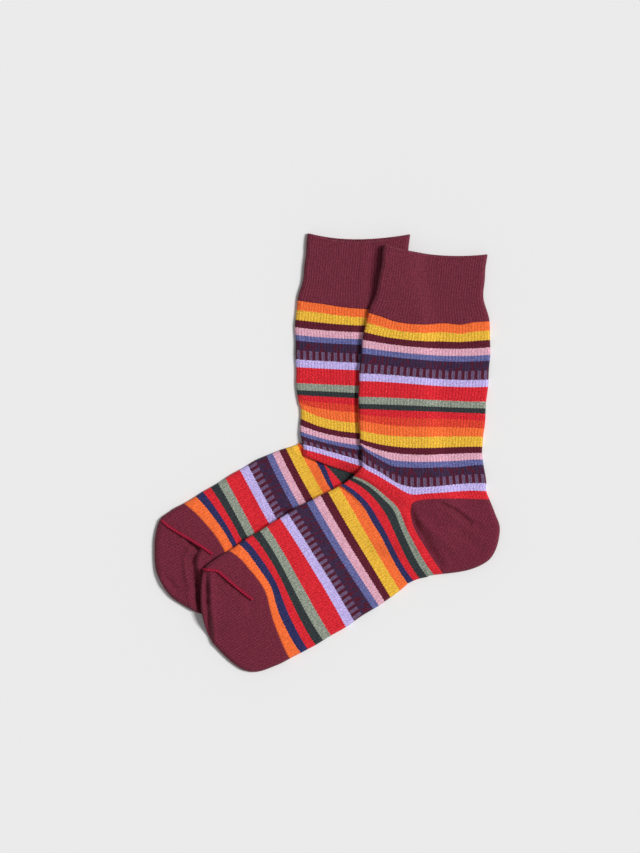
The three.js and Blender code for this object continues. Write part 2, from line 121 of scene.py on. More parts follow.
underRows = [
    (0, (-14, 164), (62.5, 163), (4, 3.5), 6),
    (19, (-16, 145.5), (61, 145.5), (4, 4), 6),
    (36, (-18, 129), (61, 127), (3.5, 3.5), 5.6),
    (50, (-21.5, 114), (66, 109.5), (3, 3.5), 4.8),
    (68, (-23.5, 93.5), (68, 89), (1.5, 1)),
    (91, (-23, 69.5), (69, 65.5), (0.5, 0.5)),
    (116, (-22, 43), (71, 39), (0.5, 0.5)),
    (127.8, (-20.8, 36.8), (72.2, 28.5), (3.5, 2)),
    (135, (-19.5, 33), (73, 21), (6, 3)),
    (148, (-19.5, 20.5), (74, 8.5), (5, 3.5), 4.4, 0.2),
    (158, (-19.5, 12.5), (76, -1), (4, 4), 4.5, 1.1),
    (172, (-17.8, 6), (79, -12), (2.9, 4.6), 4.6, 2.4, 0, "fold"),
    (177.5, (-17.8, 2.3), (80.5, -19), (2.2, 4.2), 4.8, 2.8, 0, "fold"),
    (183, (-18.3, -0.8), (86, -29), (3, 3), 5.2, 3.0, 0, "fold"),
    (184.2, (-18.7, -1.9), (87, -31), (3.2, 3), 5.2, 2.0, 0, "fold"),
    (185.2, (-18.4, -1.2), (87, -31.5), (3, 2.5), 4.6, 0.4, 0, "fold"),
    (187, (-17.5, 4), (89, -34), (-1, 0), 4.2, 0, 0, "fold"),
    (189, (-17.3, 5.6), (91, -48), (-3, -1), 4.2, 0, 0, "fold"),
    (191.5, (-17.2, 6), (91, -56), (-4, -1.5)),
    (202.5, (-18, 6.6), (64, -65), (1.5, 3), 4.6),
    (208.5, (-19, 6.5), (44, -64.5), (-2.4, 3)),
    (213, (-20.3, 6.5), (27.5, -63.5), (-3, -1.4)),
    (221, (-22, 6), (21, -68), (1.5, 1)),
    (229.5, (-30.5, 3), (14, -73.5), (1.5, 1.5)),
    (246, (-45, -2.5), (1, -82), (2, 2)),
    (267.5, (-65, -13), (-19, -95.5), (0.5, 0.5)),
    (285, (-81.5, -23), (-36.5, -106), (-0.5, 0)),
    (296.5, (-92.5, -30), (-48.5, -112), (-4, -3), 4.6),
    (309, (-107, -38.5), (-62.5, -118.5), (-8.9, -7.7), 5.2),
    (320, (-116, -43.5), (-74, -122.5), (-7, -3.5), 6),
    (332, (-124.5, -50), (-86.5, -123), (-4, -2), 6.2),
    (342, (-128.5, -64), (-98, -119.5), (-2, -1), 6.2),
    (348, (-129, -76.5), (-108.5, -114), (-1, -0.5), 6.2),
    (351.5, (-128, -88), (-116, -109), (0, 0), 6.2),
    (354, (-125, -96), (-121.5, -102.5), (0, 0), 6.2),
]

# Places where the courses are pulled aside, as at the ankle's bend
# Columns: course, reach along the courses, place across, reach across, shift towards the toe
overPulls = [
    (50, 7, 0.1, 0.09, -1.1),
    (53, 9, 0.6, 0.08, -0.9),
    (53, 9, 0.77, 0.07, 1.2),
    (158, 6, 0.27, 0.08, 1.2),
    (158, 5, 0.8, 0.12, 1.2),
    (175, 9, 0.15, 0.12, -4.2),
    (177.6, 6, 0.28, 0.09, -1.4),
    (178, 5, 0.43, 0.08, 1.4),
    (193, 7, 0.41, 0.11, -2.4),
    (214, 6, 0.4, 0.1, 1.0),
    (305, 9, 0.2, 0.1, 1.0),
    (305, 9, 0.43, 0.1, -1.4),
    (305, 9, 0.66, 0.1, 0.7),
]
underPulls = [
    (53, 10, 0.2, 0.15, -0.6),
    (194.5, 4.5, 0.35, 0.2, -4.0),
    (208.5, 6, 0.45, 0.17, 4.4),
    (305, 9, 0.22, 0.12, 0.6),
]

# Soft creases in the top layer, seen from above: a trough, or a ridge where the depth is below 0
# Columns: start, end, depth, width
overCreases = [
    ((-90.2, -91), (-89.7, -112), 4.2, 2.1),  # the toe's rolled strip
    ((-89.7, -112), (-87.4, -143), 3.8, 2.1),
    ((-84.5, -93), (-80, -106), 0.7, 2.6),
    ((-83, -92.5), (-71, -101), 1.1, 1.6),  # below the toe seam
    ((-71, -100), (-56, -112), 0.6, 1.5),
    ((-56, -112), (-58, -126), 0.5, 3.0),
    ((62, -43), (67.5, -58), 2.0, 2.4),  # round the heel pocket
    ((67, -56), (84, -84), 2.9, 3.3),
    ((70, -50), (99, -77), -1.2, 3.0),
    ((85.5, -38.5), (96, -44), 2.2, 1.6),
    ((95.5, -43.5), (107, -53), 3.0, 1.9),
    ((106, -52), (116, -57), 1.2, 2.2),
    ((92, -47), (104, -59), -0.6, 3.0),
    ((95, -56), (115, -73), 0.9, 3.2),
    ((60, -36), (46, -46), -0.7, 4.0),
    ((34, 101), (44, 104), 0.5, 1.8),  # below the cuff
    ((60, 95), (68, 102), 0.7, 1.8),
    ((68, 94), (76, 103), -0.4, 2.4),
    ((94, 96), (104, 92), 0.4, 2.5),
    ((28, 12), (52, 8), -0.5, 3.0),
    ((30, 1), (60, -22), 0.8, 3.0),  # the ankle's bend
    ((34, -8), (58, -34), -0.5, 3.4),
    ((-10, -48), (16, -92), 0.5, 5.0),  # down the foot
    ((-54, -74), (-34, -112), 0.5, 4.5),
    ((84, 60), (88, 10), 0.35, 6.0),  # down the leg
    ((44, 84), (46, 30), 0.3, 6.0),
]
underCreases = [
    ((-104.5, -65.5), (-97, -72.5), 2.6, 1.8),  # the toe's dent
    ((-97, -72.5), (-101, -81), 4.4, 2.3),
    ((-101, -81), (-99.5, -91), 4.4, 2.7),
    ((-99.5, -91), (-97, -98), 3.4, 2.6),
    ((-91, -74), (-89.5, -83), -1.0, 2.4),
    ((-97, -94), (-92.5, -122), 4.6, 3.6),
    ((-120.5, -93), (-112, -104), 1.2, 2.0),
    ((-112, -104), (-98, -100), 1.0, 2.2),
    ((-112, -63.5), (-97, -72), 0.9, 1.5),  # below the toe seam
    ((-21, 38), (-12, 33), 0.8, 2.2),  # the leg's kink
    ((-19, 114), (-8, 110), 0.5, 1.8),
    ((-21.5, 3.5), (-18, 0.5), 3.6, 1.8),  # the fold's end at the instep
    ((11, -16), (24, -25), 7.0, 6.6),  # the hollow below the fold
    ((35, 152), (31, 118), 1.6, 3.4),  # beside the other cuff
    ((-67, -66.5), (-30, -45), 2.3, 2.2),  # pressed down along the other sock's edge
    ((-30, -45), (8, -23.5), 2.3, 2.2),
    ((24.5, 98), (22.5, 62), 1.8, 2.2),
    ((22.5, 62), (22.5, 8), 1.8, 2.2),
    ((-64, -22), (-50, -50), 0.5, 4.5),
    ((-6, 90), (-4, 44), 0.35, 6.0),
]

sockSettings = {
    "step": 1.25,  # between rows of the mesh
    "columnsOnTop": 104,
    "columnsBelow": 34,
    "closerAtEdges": 0.6,
    "layerGap": 0.55,  # between the socks
    "shelfReach": 4.0,  # the over sock stays level this far past the under sock
    "dropReach": 17.0,  # and touches the surface this far past it
    "edgeLevel": 0.42,  # the height of the tube's edges, as a share of its full height
    "highestEdge": 2.0,
    "topRounding": 0.7,  # how far in from the edges the top is still rounded, as a share of that height too
    "lowestFold": 1.7,  # how near the surface a crease can press the top layer
    "waves": 0.12,  # height of the cloth's slow waves
    "wobble": 0.22,  # unevenness of its edges, in waves of these lengths, starts and shares
    "frontWobble": ((3.3, 0, 1), (7.9, 1, 0.7)),
    "backWobble": ((3.9, 2, 1), (8.7, 0, 0.7)),
    "rimRun": 19,  # how far down from the rim its dip fades
    "bodyWall": 1.15,
    "cuffWall": 1.8,
    "toeWall": 1.5,
    "faceWidth": 96.0,
}
creaseSettings = {
    "ends": 0.45,  # shares of a crease's depth
    "middle": 0.55,
    "part": (0.08, 0.92),  # of a half wave that its depth follows
    "shoulder": 0.3,  # height of the cloth beside it
    "shoulderAt": 2.0,
    "shoulderSharpness": 1.5,
}
# How much closer together the mesh's rows come where a row's ends, its lift or its tuck change quickly
closerRows = {"ends": 0.55, "lift": 3.0, "tuck": 1.5, "most": 4}
shelfSettings = {
    "spacing": 2.0,
    "xs": (-140, 150),
    "ys": (-180, 180),
    "courseStep": 2.5,
    "columns": 41,
    "batch": 400,  # points at a time
}


def rowsOf(table, withFolds):
    rows = [dict(zip(rowColumns, row + usualRow[len(row) :])) for row in table]
    return [row for row in rows if withFolds or row["kind"] != "fold"]


def along(rows, course, column):
    # one column of the rows at each course, on a smooth curve through them
    places = np.array([row["course"] for row in rows], float)
    values = np.array([np.atleast_1d(row[column]) for row in rows], float)
    rise = np.empty_like(values)
    rise[1:-1] = (values[2:] - values[:-2]) / (places[2:] - places[:-2])[:, None]
    rise[0] = (values[1] - values[0]) / (places[1] - places[0])
    rise[-1] = (values[-1] - values[-2]) / (places[-1] - places[-2])
    at = np.asarray(course, float).ravel()
    i = np.clip(np.searchsorted(places, at, side="right") - 1, 0, len(places) - 2)
    span = places[i + 1] - places[i]
    u = np.clip((at - places[i]) / span, 0, 1)[:, None]
    span = span[:, None]
    first = (2 * u**3 - 3 * u**2 + 1) * values[i] + (u**3 - 2 * u**2 + u) * span * rise[i]
    return first + (3 * u**2 - 2 * u**3) * values[i + 1] + (u**3 - u**2) * span * rise[i + 1]


def smooth(x):
    c = np.clip(x, 0, 1)
    return c * c * (3 - 2 * c)


def unit(v):
    return v / np.maximum(np.linalg.norm(v, axis=-1, keepdims=True), 1e-9)


def creaseDepth(creases, x, y):
    # a trough has soft shoulders, as cloth does beside a crease
    like = creaseSettings
    total = np.zeros_like(x)
    for start, end, depth, width in creases:
        run = np.array(end, float) - np.array(start, float)
        share = np.clip(((x - start[0]) * run[0] + (y - start[1]) * run[1]) / (run @ run), 0, 1)
        apart = np.hypot(x - start[0] - share * run[0], y - start[1] - share * run[1]) / width
        fade = like["ends"] + like["middle"] * np.sin(math.pi * np.clip(share, *like["part"]))
        shoulder = np.exp(-((apart - like["shoulderAt"]) ** 2) * like["shoulderSharpness"])
        total = total + fade * depth * (np.exp(-(apart**2)) - like["shoulder"] * shoulder)
    return total


def wobble(course, waves):
    total = sum(share * np.sin(course / length + start) for length, start, share in waves)
    return (sockSettings["wobble"] * total)[:, None]


def skin(sock, course, across, onTop):
    # points of the tube's outer face, a row for each course and a column for each place across
    rows = sock["rows"] if onTop else sock["plainRows"]
    plain = sock["plainRows"]
    front, back = along(rows, course, "front"), along(rows, course, "back")
    chord = unit(back - front)
    front = front - chord * wobble(course, sockSettings["frontWobble"])
    back = back + chord * wobble(course, sockSettings["backWobble"])
    before, after = np.maximum(course - 0.5, 0), np.minimum(course + 0.5, toeTip)
    sines = []
    for side in ("front", "back"):
        run = unit(along(plain, after, side) - along(plain, before, side))
        sines.append(np.maximum(np.abs(chord[:, 0] * run[:, 1] - chord[:, 1] * run[:, 0]), 0.2)[:, None])
    width = np.linalg.norm(back - front, axis=1)[:, None]
    t = across[None, :]
    bow = along(rows, course, "bow")
    swing = 4.5 * t * (1 - t) * ((2 - 3 * t) * bow[:, :1] + (3 * t - 1) * bow[:, 1:])  # a cubic through both bows
    fade = 1 - smooth(t / sock["foldFade"])
    if onTop:
        swing = swing + sock["rimDip"] * 4 * t * (1 - t) * (1 - smooth(course[:, None] / sockSettings["rimRun"]))
        swing = swing + along(rows, course, "tuck") * fade
    for at, reach, place, spread, shift in sock["pulls"]:
        swing = swing + shift * np.exp(-(((course[:, None] - at) / reach) ** 2) - ((t - place) / spread) ** 2)
    x = front[:, :1] + (back - front)[:, :1] * t + chord[:, 1:] * swing
    y = front[:, 1:] + (back - front)[:, 1:] * t - chord[:, :1] * swing

    full = along(rows, course, "full")
    toTip = np.broadcast_to(toeTip - course[:, None], x.shape)
    fromEdge = np.minimum(np.minimum(t * width * sines[0], (1 - t) * width * sines[1]), toTip)
    rounding = sockSettings["topRounding"] if onTop else sockSettings["edgeLevel"]
    edge = np.clip(fromEdge / (full * rounding), 0, 1)
    crown = np.sqrt(1 - (1 - edge) ** 2)
    low = np.minimum(full * sockSettings["edgeLevel"], sockSettings["highestEdge"])
    height = sock["liesOn"](x, y) + low
    if not onTop:
        return np.stack([x, y, height - crown * low], -1)
    lift = np.maximum(along(rows, course, "lift"), 0) * fade
    waves = np.sin(x / 9.1 + y / 23.0) * np.sin(y / 12.7 - x / 31.0 + 1.3) + 0.6 * np.sin(x / 5.3 - y / 7.9)
    raised = full - low + sockSettings["waves"] * waves - creaseDepth(sock["creases"], x, y)
    raised = np.maximum(raised, sockSettings["lowestFold"] - low)
    return np.stack([x, y, height + lift + crown * raised], -1)


def stations(sock, first, last, step):
    # courses from first to last, closer together where the rows fan out or fold
    fine = np.append(np.arange(first, last, 0.05), last)
    travel = np.ones(len(fine))
    for side in ("front", "back"):
        ends = along(sock["rows"], fine, side)
        travel = np.maximum(travel, np.linalg.norm(np.gradient(ends, fine, axis=0), axis=1) * closerRows["ends"])
    for column in ("lift", "tuck"):
        change = np.abs(np.gradient(along(sock["rows"], fine, column)[:, 0], fine))
        travel = np.maximum(travel, np.minimum(change * closerRows[column], closerRows["most"]))
    total = np.concatenate([[0], np.cumsum((travel[1:] + travel[:-1]) / 2 * np.diff(fine))])
    count = int(math.ceil(total[-1] / step))
    return np.interp(np.linspace(0, total[-1], count + 1), total, fine)


def closerAtEdges(count):
    u = np.linspace(0, 1, count + 1)
    return u - sockSettings["closerAtEdges"] * np.sin(2 * np.pi * u) / (2 * np.pi)


def shelfOver(sock, settings, grid):
    # the height at which a second sock is carried by the first one, kept on a grid
    spacing, batch = grid["spacing"], grid["batch"]
    courses = np.arange(0, toeTip + 0.1, grid["courseStep"])
    points = skin(sock, courses, np.linspace(0, 1, grid["columns"]), True).reshape(-1, 3)
    xs, ys = np.arange(*grid["xs"], spacing), np.arange(*grid["ys"], spacing)
    gridX, gridY = np.meshgrid(xs, ys, indexing="ij")
    heights = np.zeros(gridX.size)
    flatX, flatY = gridX.ravel(), gridY.ravel()
    reach, shelf = settings["dropReach"], settings["shelfReach"]
    for k in range(0, len(points), batch):
        part = points[k : k + batch]
        apart = np.hypot(flatX[:, None] - part[None, :, 0], flatY[:, None] - part[None, :, 1])
        carried = (part[None, :, 2] + settings["layerGap"]) * smooth((reach - apart) / (reach - shelf))
        heights = np.maximum(heights, carried.max(axis=1))
    heights = heights.reshape(gridX.shape)
    for _ in range(2):  # softened twice
        padded = np.pad(heights, 1, mode="edge")
        padded = (padded[:-2] + 2 * padded[1:-1] + padded[2:]) / 4
        heights = np.maximum((padded[:, :-2] + 2 * padded[:, 1:-1] + padded[:, 2:]) / 4, 0)

    def weights(f):
        # of a cubic through four neighbours
        first, last = ((-f + 2) * f - 1) * f / 2, (f - 1) * f * f / 2
        return [first, ((3 * f - 5) * f * f + 2) / 2, ((-3 * f + 4) * f + 1) * f / 2, last]

    def liesOn(x, y):
        px, py = (x - xs[0]) / spacing, (y - ys[0]) / spacing
        i, j = np.clip(px.astype(int), 1, len(xs) - 3), np.clip(py.astype(int), 1, len(ys) - 3)
        wx, wy = weights(px - i), weights(py - j)
        height = np.zeros_like(x)
        for a in range(4):
            for b in range(4):
                height = height + wx[a] * wy[b] * heights[i + a - 1, j + b - 1]
        return np.maximum(height, 0)

    return liesOn


def makeSock(name, table, **facts):
    return {"name": name, "rows": rowsOf(table, True), "plainRows": rowsOf(table, False), **facts}


underSock = makeSock("under", underRows, creases=underCreases, pulls=underPulls, rimDip=2.0, foldFade=0.95)
underSock["liesOn"] = lambda x, y: np.zeros_like(x)
overSock = makeSock("over", overRows, creases=overCreases, pulls=overPulls, rimDip=0.6, foldFade=0.36)
overSock["liesOn"] = shelfOver(underSock, sockSettings, shelfSettings)
print("forms ready")

# Dyed cotton yarns: the colour that shows, and the colour of the flecks where fibres catch or lose the light
yarns = {
    "maroon": ("#662334", "#86394a"),
    "pocketMaroon": ("#6b2034", "#873749"),
    "darkMaroon": ("#541627", "#6f2738"),
    "orange": ("#f76830", "#ff8648"),
    "brick": ("#dc372c", "#f05a38"),
    "gold": ("#ebb130", "#f7d158"),
    "pink": ("#dd9fb6", "#f0c4d0"),
    "slate": ("#585b94", "#8486b8"),
    "plum": ("#35223d", "#4b3252"),
    "wine": ("#4d152b", "#622339"),
    "lilac": ("#624c6b", "#806b8b"),
    "lavender": ("#bcabea", "#dccffa"),
    "red": ("#d41a2a", "#e83d44"),
    "sage": ("#7d8878", "#bdbfb4"),
    "darkGreen": ("#282f31", "#43494b"),
    "navy": ("#242452", "#424274"),
    "crimson": "#a3163a",
}
# Yarn by yarn down the leg, round the heel and down the foot: the course at which each begins
stripes = [
    (50.0, "orange"), (56.7, "gold"), (62.9, "darkMaroon"), (68.0, "pink"), (73.2, "slate"), (77.4, "plum"),
    (84.4, "wine"), (91.1, "lavender"), (96.4, "red"), (107.3, "sage"), (112.3, "darkGreen"), (116.2, "red"),
    (121.6, "brick"), (127.8, "orange"), (135.1, "gold"), (143.1, "darkMaroon"), (148.2, "pink"),
    (153.6, "slate"), (158.1, "plum"), (165.3, "wine"), (172.0, "lavender"), (177.6, "red"), (191.5, "sage"),
    (197.0, "darkGreen"), (202.5, "red"), (208.5, "navy"), (213.0, "orange"), (221.0, "gold"),
    (229.5, "darkMaroon"), (235.2, "pink"), (241.0, "slate"), (246.0, "plum"), (254.6, "wine"),
    (261.0, "lavender"), (267.5, "red"), (279.0, "sage"), (285.0, "darkGreen"), (290.8, "red"), (296.5, "navy"),
    (301.2, "orange"),
]

knitSettings = {
    "wale": 2.4,  # a column of stitches; the real one is half as wide, too fine to show from here
    "course": 1.7,  # a row of stitches, drawn coarser for the same reason
    "loopLean": 1.6,
    "loopDepth": 0.00012,
    "loopShade": 0.09,
    "grooveDepth": 0.00026,  # between two columns
    "grooveShade": -0.3,
    "grooveUneven": (1.5, 0.25),
    "footCourses": (175.0, 200.0),  # where the cloth stops being stretched
    "grooveOnFoot": 0.4,
    "streaks": (0.75, 0.16),  # waves to a millimetre, across and down
    "streakShade": (0.55, 1.04),
    "fur": (1.05, 0.85),
    "furDepth": 0.00026,
    "furShade": 1.5,
    "fleck": (3.6, 0.22),
    "bump": 0.9,
    "tooth": 0.8,  # how far the stripes' edges follow the loops, and the fur
    "ragged": 1.5,
    "barPitch": 4.8,
    "barShare": 0.25,
    "plumRun": 4.2,
    "plumShare": 0.7,
    "heelLean": -32,  # the pockets' rows of stitches lie across them
    "toeLean": -60,
    "start": 300,  # keeps their places in the pattern above 0
}
pocketKnit = {**knitSettings, "wale": 2.1, "course": 1.6, "loopDepth": 0.00016, "grooveDepth": 0.0002}
clothLook = {"Roughness": 0.92, "Specular IOR Level": 0.18, "Sheen Weight": 0.06}
threadLook = {"Roughness": 0.7, "Specular IOR Level": 0.25}


def linear(hexColour):
    parts = [int(hexColour[i : i + 2], 16) / 255 for i in (1, 3, 5)]
    return tuple(c / 12.92 if c <= 0.04045 else ((c + 0.055) / 1.055) ** 2.4 for c in parts) + (1.0,)


def addNode(tree, kind, inputs=(), **settings):
    # inputs go by number or by name; each is a value, another node, or one of its outputs
    node = tree.nodes.new(kind)
    for name, value in settings.items():
        setattr(node, name, value)
    for key, value in inputs.items() if isinstance(inputs, dict) else enumerate(inputs):
        if isinstance(value, bpy.types.Node):
            value = value.outputs[0]
        if isinstance(value, bpy.types.NodeSocket):
            tree.links.new(value, node.inputs[key])
        else:
            node.inputs[key].default_value = value
    return node


def calc(tree, operation, *inputs, **settings):
    return addNode(tree, "ShaderNodeMath", inputs, operation=operation, **settings)


def chain(tree, value, *steps):
    # maths nodes in a row, each with the last one's result as its first input
    for operation, *others in steps:
        value = calc(tree, operation, value, *others)
    return value


def fromMiddle(tree, place, pitch):
    # how far a place is from the middle of its own pitch: 0 there, 0.5 between two
    return chain(tree, place, ("DIVIDE", pitch), ("FRACT",), ("SUBTRACT", 0.5), ("ABSOLUTE",))


def mix(tree, share, first, second, **settings):
    inputs = {0: share, 6: first, 7: second}
    return addNode(tree, "ShaderNodeMix", inputs, data_type="RGBA", **settings).outputs[2]


def noise(tree, grid, stretch, **values):
    # even noise on a grid that is scaled first, so that it can be longer one way than the other
    grid = addNode(tree, "ShaderNodeMapping", {"Vector": grid, "Scale": (*stretch, 1)})
    return addNode(tree, "ShaderNodeTexNoise", {"Vector": grid, "Scale": 1.0, **values}, noise_dimensions="2D")


def setStops(ramp, stops):
    # a colour ramp that changes at once at each stop
    ramp.interpolation = "CONSTANT"
    for k, (position, colour) in enumerate(stops):
        element = ramp.elements[k] if k < 2 else ramp.elements.new(position)
        element.position = position
        element.color = colour


def knitMaterial(name, paint, settings, heather=1.0, wales=1.0):
    # Plain cotton jersey off a circular machine: matte, in soft columns of V stitches, with a heathered, slightly
    # furry face and no gloss
    mat = bpy.data.materials.new(name)
    mat.use_nodes = True
    tree = mat.node_tree
    tree.nodes.clear()
    grid = addNode(tree, "ShaderNodeUVMap", uv_map="knit")
    split = addNode(tree, "ShaderNodeSeparateXYZ", [grid])
    side = fromMiddle(tree, split, settings["wale"])
    slant = calc(tree, "DIVIDE", split.outputs[1], settings["course"])
    slant = calc(tree, "MULTIPLY_ADD", side, settings["loopLean"], slant)
    loops = chain(tree, slant, ("MULTIPLY", 2 * math.pi), ("SINE",), ("MULTIPLY_ADD", 0.5, 0.5))
    between = chain(tree, side, ("MULTIPLY", 2.0), ("POWER", 3.0))  # 1 between two columns, and it falls off steeply

    # slow unevenness down the columns, and the fur's fine flecks
    streaks = noise(tree, grid, settings["streaks"], Detail=3.0)
    fur = noise(tree, grid, settings["fur"], Detail=4.0, Roughness=0.75)

    # the grooves come and go, and nearly close on the foot, where the cloth isn't stretched
    place = addNode(tree, "ShaderNodeSeparateXYZ", [addNode(tree, "ShaderNodeUVMap", uv_map="stripes")])
    stretched = [place, *settings["footCourses"], 1.0, settings["grooveOnFoot"]]
    stretched = addNode(tree, "ShaderNodeMapRange", stretched)
    uneven = calc(tree, "MULTIPLY_ADD", streaks, *settings["grooveUneven"])
    stretched = calc(tree, "MULTIPLY", stretched, uneven)
    between = calc(tree, "MULTIPLY", between, stretched)

    yarn, fleck = paint(tree, split, side, fur)
    strength, level = settings["fleck"]
    centred = calc(tree, "SUBTRACT", fur, 0.5)
    lit = calc(tree, "MULTIPLY_ADD", centred, strength * heather, level, use_clamp=True)
    colour = mix(tree, lit, yarn, fleck)

    # painted shade: the colour is darker in the grooves between columns and changes across each row of loops, as
    # light falls on the knit's relief; the streaks and the fur add random unevenness of tone
    shade = chain(tree, streaks, ("SUBTRACT", 0.5), ("MULTIPLY_ADD", *settings["streakShade"]))
    shade = calc(tree, "MULTIPLY_ADD", loops, settings["loopShade"], shade)
    shade = calc(tree, "MULTIPLY_ADD", between, settings["grooveShade"] * wales, shade)
    shade = calc(tree, "MULTIPLY_ADD", centred, settings["furShade"] * heather, shade)
    shade = addNode(tree, "ShaderNodeCombineColor", [shade, shade, shade])
    colour = mix(tree, 1.0, colour, shade, blend_type="MULTIPLY")

    height = calc(tree, "MULTIPLY", loops, settings["loopDepth"])
    groove = -settings["grooveDepth"] * wales
    height = calc(tree, "MULTIPLY_ADD", between, groove, height)
    height = calc(tree, "MULTIPLY_ADD", fur, settings["furDepth"], height)
    bump = addNode(tree, "ShaderNodeBump", {"Strength": settings["bump"], "Distance": 1.0, "Height": height})
    shader = {"Base Color": colour, "Normal": bump, **clothLook}
    shader = addNode(tree, "ShaderNodeBsdfPrincipled", shader)
    addNode(tree, "ShaderNodeOutputMaterial", {"Surface": shader})
    return mat


def evenMaterial(name, hexColour, look):
    mat = bpy.data.materials.new(name)
    mat.use_nodes = True
    for socket, value in {"Base Color": linear(hexColour), **look}.items():
        mat.node_tree.nodes["Principled BSDF"].inputs[socket].default_value = value
    return mat


def plainYarn(yarn):
    def paint(tree, split, side, fur):
        colours = [addNode(tree, "ShaderNodeRGB"), addNode(tree, "ShaderNodeRGB")]
        for node, hexColour in zip(colours, yarn):
            node.outputs[0].default_value = linear(hexColour)
        return colours

    return paint


def stripedYarns(tree, split, side, fur):
    # the yarn changes at a row of stitches, so the stripes' edges are a little toothed, as the stitches are
    given = addNode(tree, "ShaderNodeSeparateXYZ", [addNode(tree, "ShaderNodeUVMap", uv_map="stripes")])
    ragged = chain(tree, fur, ("SUBTRACT", 0.5), ("MULTIPLY", knitSettings["ragged"]))
    steps = ("SUBTRACT", 0.25), ("MULTIPLY_ADD", knitSettings["tooth"], ragged), ("DIVIDE", given.outputs[1])
    course = calc(tree, "ADD", given, chain(tree, side, *steps))

    # the number of the yarn here: it steps to the next yarn's number wherever the yarn changes
    palette = sorted({yarn for _, yarn in stripes})
    number = palette.index(stripes[0][1])
    for (start, yarn), (_, before) in zip(stripes[1:], stripes):
        passed = calc(tree, "GREATER_THAN", course, start)
        step = palette.index(yarn) - palette.index(before)
        number = calc(tree, "MULTIPLY_ADD", passed, step, number)
    share = chain(tree, number, ("ADD", 0.5), ("DIVIDE", len(palette)))

    # lilac bars, two columns in four, wherever the ground is wine
    bar = fromMiddle(tree, split, knitSettings["barPitch"])
    bar = calc(tree, "LESS_THAN", bar, knitSettings["barShare"])
    onWine = calc(tree, "COMPARE", number, palette.index("wine"), 0.2)
    bar = calc(tree, "MULTIPLY", bar, onWine)

    # short wine stitches down half columns, a different run of them in each, where it is plum
    thin = chain(tree, split, ("DIVIDE", knitSettings["wale"] / 2), ("FLOOR",))
    start = addNode(tree, "ShaderNodeTexWhiteNoise", {"W": thin}, noise_dimensions="1D")
    piece = chain(tree, split.outputs[1], ("DIVIDE", knitSettings["plumRun"]), ("ADD", start), ("FLOOR",))
    cell = addNode(tree, "ShaderNodeCombineXYZ", [thin, piece])
    chosen = addNode(tree, "ShaderNodeTexWhiteNoise", {"Vector": cell}, noise_dimensions="2D")
    onPlum = calc(tree, "COMPARE", number, palette.index("plum"), 0.2)
    chosen = chain(tree, chosen, ("GREATER_THAN", knitSettings["plumShare"]), ("MULTIPLY", onPlum))

    painted = []
    for look in (0, 1):
        striped = addNode(tree, "ShaderNodeValToRGB", [share])
        stops = [(k / len(palette), linear(yarns[yarn][look])) for k, yarn in enumerate(palette)]
        setStops(striped.color_ramp, stops)
        barred = mix(tree, bar, striped, linear(yarns["lilac"][look]))
        painted.append(mix(tree, chosen, barred, linear(yarns["wine"][look])))
    return painted


ribCotton = knitMaterial("ribbedCotton", plainYarn(yarns["maroon"]), knitSettings, wales=0.0)
stripedCotton = knitMaterial("stripedCottonJersey", stripedYarns, knitSettings, heather=0.9)
pocketYarn = plainYarn(yarns["pocketMaroon"])
pocketCotton = knitMaterial("plainCottonJersey", pocketYarn, pocketKnit, heather=0.75, wales=0.9)
# Mercerised thread: smoother than the cloth, so each stitch has a soft light on it
seamCotton = evenMaterial("mercerisedSeamThread", yarns["crimson"], threadLook)
print("materials ready")


def toMetres(points):
    return (points - middle) / 1000


def turned(points, degrees):
    # flat points, turned clockwise
    turn = math.radians(degrees)
    return points @ np.array([[math.cos(turn), -math.sin(turn)], [math.sin(turn), math.cos(turn)]])


def addObject(name, points, edges, faces, maps=(), marks=()):
    # a mesh with its UV maps and its values for each point
    mesh = bpy.data.meshes.new(name)
    mesh.from_pydata(toMetres(points).tolist(), edges, faces)
    corners = np.empty(len(mesh.loops), int)
    mesh.loops.foreach_get("vertex_index", corners)
    starts = np.empty(len(mesh.polygons), int)
    mesh.polygons.foreach_get("loop_start", starts)
    around = 2 * sockSettings["faceWidth"]
    for mapName, values in dict(maps).items():
        placed = values[corners]
        # where the tube closes, the pattern goes on round it
        highest = np.repeat(np.maximum.reduceat(placed[:, 0], starts), np.diff(np.append(starts, len(corners))))
        placed[:, 0] += np.where(highest - placed[:, 0] > around / 2, around, 0)
        mesh.uv_layers.new(name=mapName).data.foreach_set("uv", placed.astype(np.float32).ravel())
    for markName, values in dict(marks).items():
        mesh.attributes.new(markName, "FLOAT", "POINT").data.foreach_set("value", values.astype(np.float32))
    mesh.polygons.foreach_set("use_smooth", np.ones(len(mesh.polygons), bool))
    mesh.update()
    return newObject(name, mesh)


def newTree(name, kinds):
    # an empty Geometry Nodes group with an input of each kind, and its node for those inputs
    tree = bpy.data.node_groups.new(name, "GeometryNodeTree")
    for socket, kind in {"Geometry": "Geometry", **kinds}.items():
        tree.interface.new_socket(socket, in_out="INPUT", socket_type="NodeSocket" + kind)
    tree.interface.new_socket("Geometry", in_out="OUTPUT", socket_type="NodeSocketGeometry")
    return tree, addNode(tree, "NodeGroupInput")


def addTree(ob, tree, values):
    # a Geometry Nodes modifier, with its inputs set by their identifiers
    modifier = ob.modifiers.new(tree.name, "NODES")
    modifier.node_group = tree
    ids = {item.name: item.identifier for item in tree.interface.items_tree if item.in_out == "INPUT"}
    for inputName, value in values.items():
        modifier[ids[inputName]] = value


def addThickness(ob, wall):
    thick = ob.modifiers.new("clothThickness", "SOLIDIFY")
    thick.thickness = wall / 1000
    thick.offset = -1


